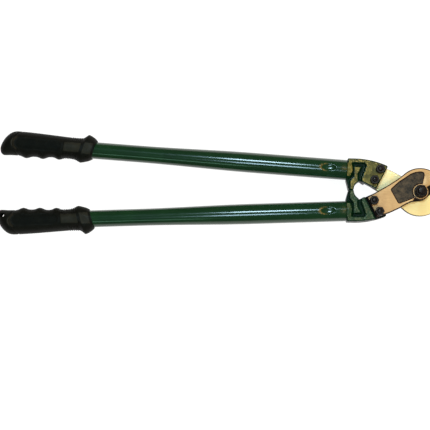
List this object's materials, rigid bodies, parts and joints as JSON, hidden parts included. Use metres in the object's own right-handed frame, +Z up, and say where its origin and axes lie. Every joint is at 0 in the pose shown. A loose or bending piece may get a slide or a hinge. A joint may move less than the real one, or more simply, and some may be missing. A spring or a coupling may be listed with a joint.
{
  "type": "bolt cutters",
  "caption": "Long-handled cutter with curved overlapping bypass blades on cast yokes, painted tube handles and moulded grips with finger ridges.",
  "frame": {"origin": "on the pivot axis, at the flat end of the pivot bolt's head, level with the surface the tool lies on", "axes": "+X along the tool from the pivot to the jaws' tips, +Y towards the left handle, +Z up along the pivot axis to the nuts"},
  "size_m": [0.6356, 0.1394, 0.0348],
  "materials": {
    "grip_rubber": "matte",
    "green_paint": "gloss",
    "cast_paint": "gloss",
    "top_blade_steel": "satin",
    "bottom_blade_steel": "satin",
    "black_steel": "satin"
  },
  "bodies": {
    "right_handle": {"right_grip": "grip_rubber", "right_handle_tube": "green_paint", "right_yoke": "cast_paint", "right_outer_blade_bolt": "black_steel", "right_outer_lock_washer": "black_steel", "right_outer_blade_nut": "black_steel", "right_inner_blade_bolt": "black_steel", "right_inner_lock_washer": "black_steel", "right_inner_blade_nut": "black_steel", "top_blade": "top_blade_steel", "pivot_bolt": "black_steel", "pivot_washer": "black_steel", "pivot_lock_washer": "black_steel", "pivot_nut": "black_steel"},
    "left_handle": {"left_grip": "grip_rubber", "left_handle_tube": "green_paint", "left_yoke": "cast_paint", "left_outer_blade_bolt": "black_steel", "left_outer_lock_washer": "black_steel", "left_outer_blade_nut": "black_steel", "left_inner_blade_bolt": "black_steel", "left_inner_lock_washer": "black_steel", "left_inner_blade_nut": "black_steel", "bottom_blade": "bottom_blade_steel"}
  },
  "joints": [
    {"name": "jaw_pivot", "type": "hinge", "parent": "right_handle", "child": "left_handle", "pos_m": [0, 0, 0.0152], "axis": [0, 0, -1], "range_deg": [0, 90]}
  ]
}
